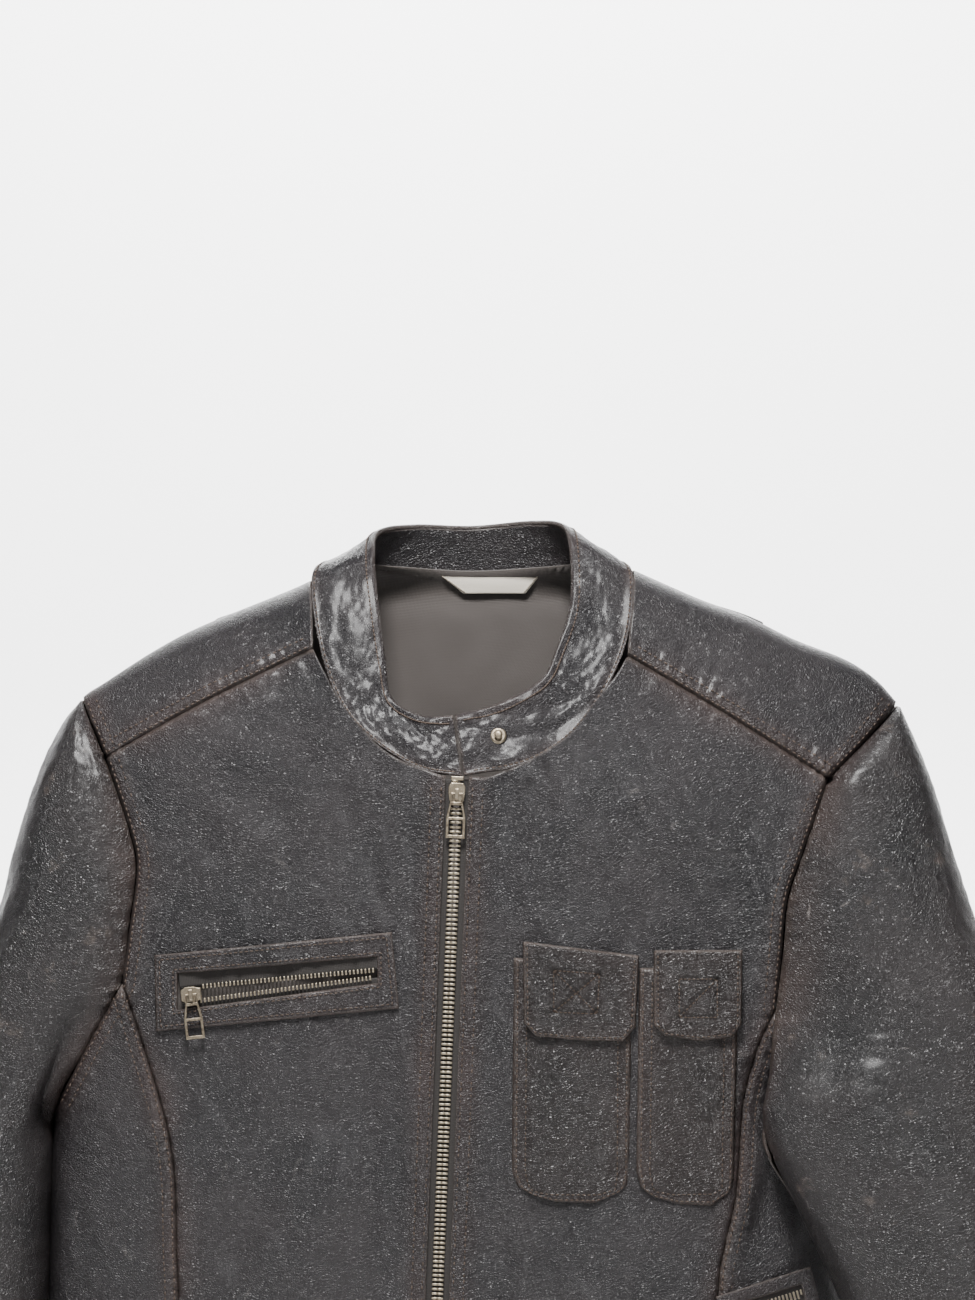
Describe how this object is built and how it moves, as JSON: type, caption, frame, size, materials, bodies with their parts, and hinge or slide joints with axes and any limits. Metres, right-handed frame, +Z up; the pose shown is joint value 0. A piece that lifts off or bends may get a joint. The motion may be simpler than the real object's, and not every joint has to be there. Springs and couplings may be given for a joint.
{
  "type": "leather riding jacket",
  "caption": "Short leather riding jacket with stand collar, front zip, zipped chest pocket and flap pockets, hanging from its neck loop.",
  "frame": {"origin": "top edge of the hanging loop label at the middle of the back neck", "axes": "+X to the wearer's left, front of the jacket faces -Y, +Z up"},
  "size_m": [0.7264, 0.1607, 0.6697],
  "materials": {
    "leather": "worn, semi-gloss",
    "lining_cloth": "plain woven",
    "zip_tape": "woven tape",
    "label_cloth": "woven label",
    "aged_brass": "antique"
  },
  "bodies": {
    "jacket": {"back_panel_left": "leather", "back_panel_right": "leather", "chest_pocket_frame": "leather", "chest_zip_tape_lower": "zip_tape", "chest_zip_tape_upper": "zip_tape", "chest_zip_teeth_lower": "aged_brass", "chest_zip_teeth_upper": "aged_brass", "collar_facing": "leather", "collar_outer": "leather", "cuff_left": "leather", "cuff_right": "leather", "front_panel_left": "leather", "front_panel_right": "leather", "hang_loop_label": "label_cloth", "inner_pocket_body": "leather", "lining_back": "lining_cloth", "lining_front_left": "lining_cloth", "lining_front_right": "lining_cloth", "lower_pocket_welt_left": "leather", "lower_pocket_welt_right": "leather", "lower_zip_tape_left": "zip_tape", "lower_zip_tape_right": "zip_tape", "lower_zip_teeth_left": "aged_brass", "lower_zip_teeth_right": "aged_brass", "main_zip_pin_box": "aged_brass", "main_zip_tape_left": "zip_tape", "main_zip_tape_right": "zip_tape", "main_zip_teeth_left": "aged_brass", "main_zip_teeth_right": "aged_brass", "main_zip_top_stop": "aged_brass", "outer_pocket_body": "leather", "side_panel_left": "leather", "side_panel_right": "leather", "sleeve_left": "leather", "sleeve_lining_left": "lining_cloth", "sleeve_lining_right": "lining_cloth", "sleeve_right": "leather", "snap_stud": "aged_brass", "yoke_left": "leather", "yoke_right": "leather", "zip_facing_left": "leather", "zip_facing_right": "leather"},
    "main_zip_slider": {"main_zip_slider": "aged_brass"},
    "main_zip_pull": {"main_zip_pull": "aged_brass"},
    "chest_zip_slider": {"chest_zip_slider": "aged_brass"},
    "chest_zip_pull": {"chest_zip_pull": "aged_brass"},
    "lower_zip_slider_left": {"lower_zip_slider_left": "aged_brass"},
    "lower_zip_pull_left": {"lower_zip_pull_left": "aged_brass"},
    "lower_zip_slider_right": {"lower_zip_slider_right": "aged_brass"},
    "lower_zip_pull_right": {"lower_zip_pull_right": "aged_brass"},
    "inner_pocket_flap": {"inner_pocket_flap": "leather"},
    "outer_pocket_flap": {"outer_pocket_flap": "leather"}
  },
  "joints": [
    {"name": "main_zip_slide", "type": "slide", "parent": "jacket", "child": "main_zip_slider", "axis": [-0.0387, 0, -0.9993], "range_m": [0, 0.36]},
    {"name": "main_pull_lift", "type": "hinge", "parent": "main_zip_slider", "child": "main_zip_pull", "pos_m": [-0.01831, -0.11185, -0.12199], "axis": [-0.9993, 0, 0.0387], "range_deg": [0, 120]},
    {"name": "chest_zip_slide", "type": "slide", "parent": "jacket", "child": "chest_zip_slider", "axis": [0.9925, -0.0432, 0.1143], "range_m": [0, 0.09]},
    {"name": "chest_pull_lift", "type": "hinge", "parent": "chest_zip_slider", "child": "chest_zip_pull", "pos_m": [-0.16467, -0.10955, -0.23257], "axis": [-0.9925, 0.0432, -0.1143], "range_deg": [0, 120]},
    {"name": "lower_zip_slide_left", "type": "slide", "parent": "jacket", "child": "lower_zip_slider_left", "axis": [0.9233, 0.2757, 0.2673], "range_m": [0, 0.022]},
    {"name": "lower_pull_lift_left", "type": "hinge", "parent": "lower_zip_slider_left", "child": "lower_zip_pull_left", "pos_m": [0.14309, -0.10646, -0.40686], "axis": [-0.9233, -0.2757, -0.2673], "range_deg": [0, 120]},
    {"name": "lower_zip_slide_right", "type": "slide", "parent": "jacket", "child": "lower_zip_slider_right", "axis": [-0.8889, 0.3339, 0.3137], "range_m": [0, 0.018]},
    {"name": "lower_pull_lift_right", "type": "hinge", "parent": "lower_zip_slider_right", "child": "lower_zip_pull_right", "pos_m": [-0.1952, -0.10301, -0.42949], "axis": [-0.8889, 0.3339, 0.3137], "range_deg": [0, 120]},
    {"name": "inner_flap_lift", "type": "hinge", "parent": "jacket", "child": "inner_pocket_flap", "pos_m": [0.05, -0.11333, -0.207], "axis": [-0.9921, -0.0176, 0.124], "range_deg": [0, 110]},
    {"name": "outer_flap_lift", "type": "hinge", "parent": "jacket", "child": "outer_pocket_flap", "pos_m": [0.1145, -0.11043, -0.208], "axis": [-0.9967, -0.0812, 0], "range_deg": [0, 110]}
  ]
}
